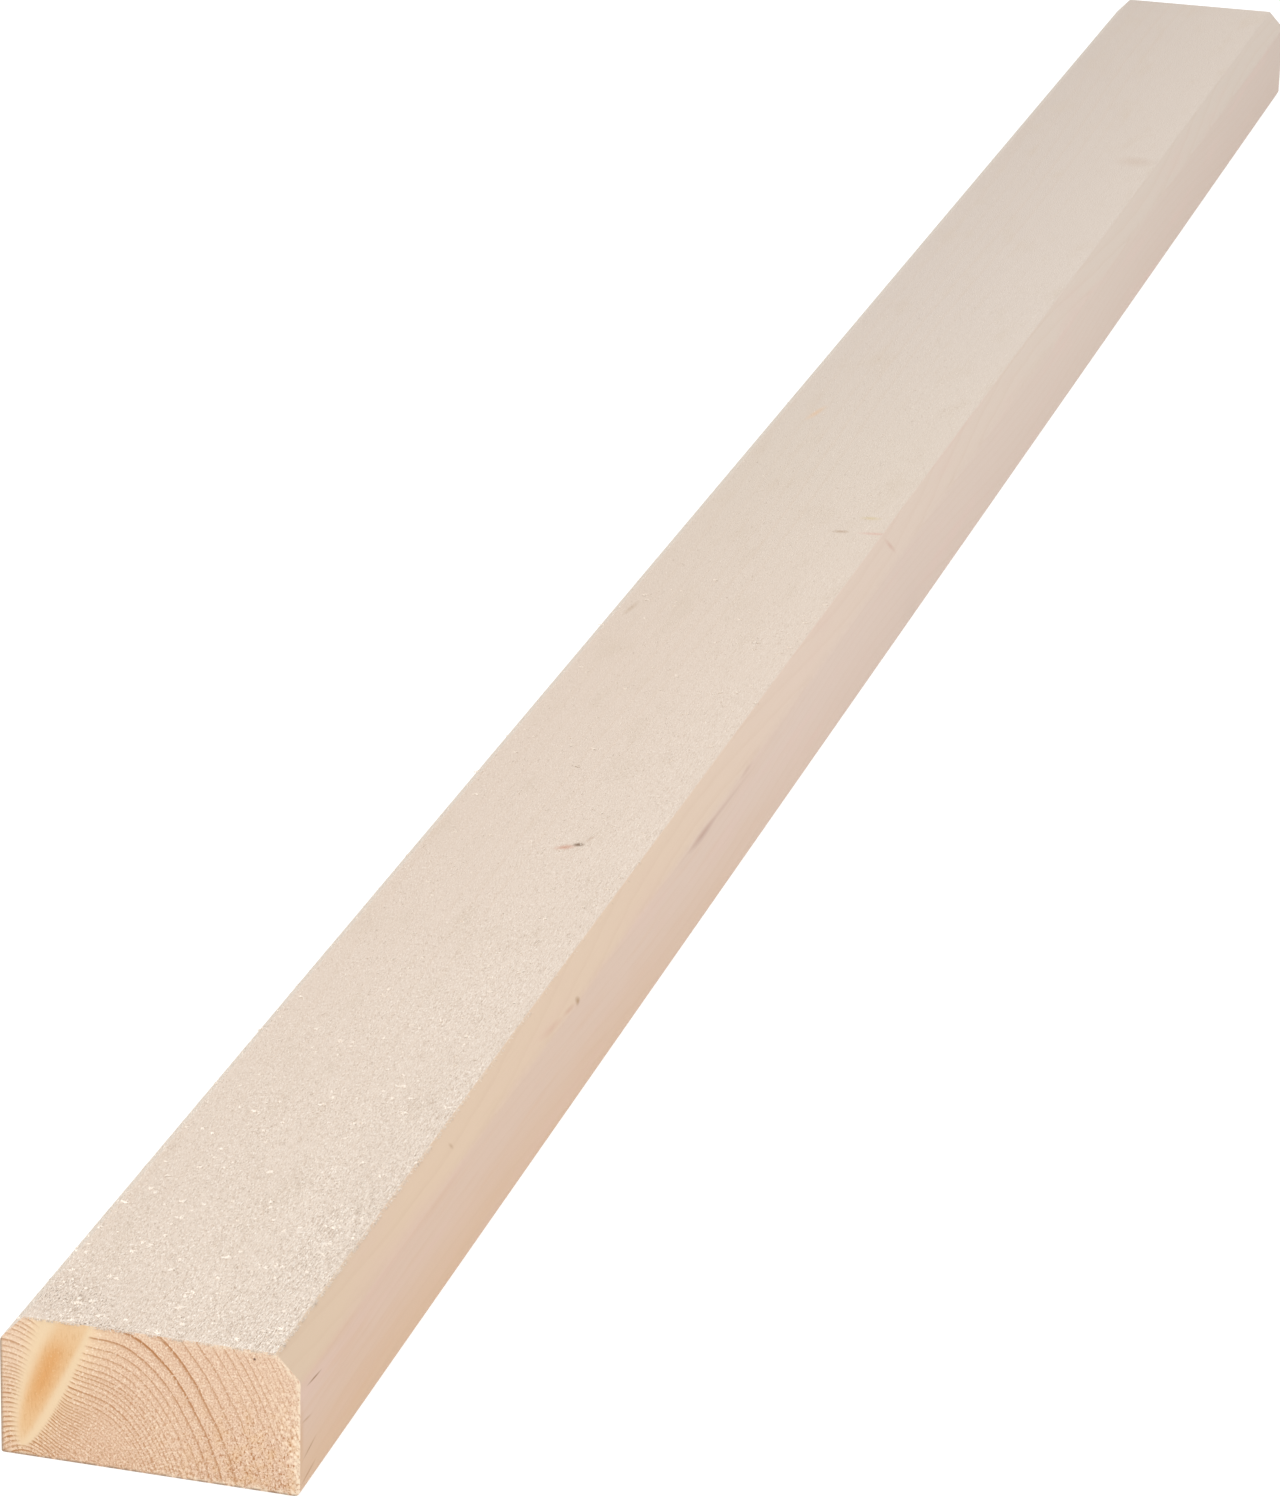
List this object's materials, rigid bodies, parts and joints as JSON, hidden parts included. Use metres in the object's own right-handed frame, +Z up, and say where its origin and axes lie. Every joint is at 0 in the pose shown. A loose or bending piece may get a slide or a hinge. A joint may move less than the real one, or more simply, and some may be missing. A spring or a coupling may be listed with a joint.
{
  "type": "timber plank",
  "caption": "Straight softwood plank with a fine-sawn top face, bevelled long top edges, planed sides and square-cut ends.",
  "frame": {"origin": "middle of the bottom face", "axes": "+X along the length, away from the end with the large knot; +Y across the width, to the edge that the knot is nearer to; +Z up, out of the fine-sawn face"},
  "size_m": [1.8, 0.098, 0.048],
  "materials": {
    "softwood": "planed and fine-sawn, unfinished"
  },
  "bodies": {
    "root": {"plank": "softwood"}
  },
  "joints": []
}
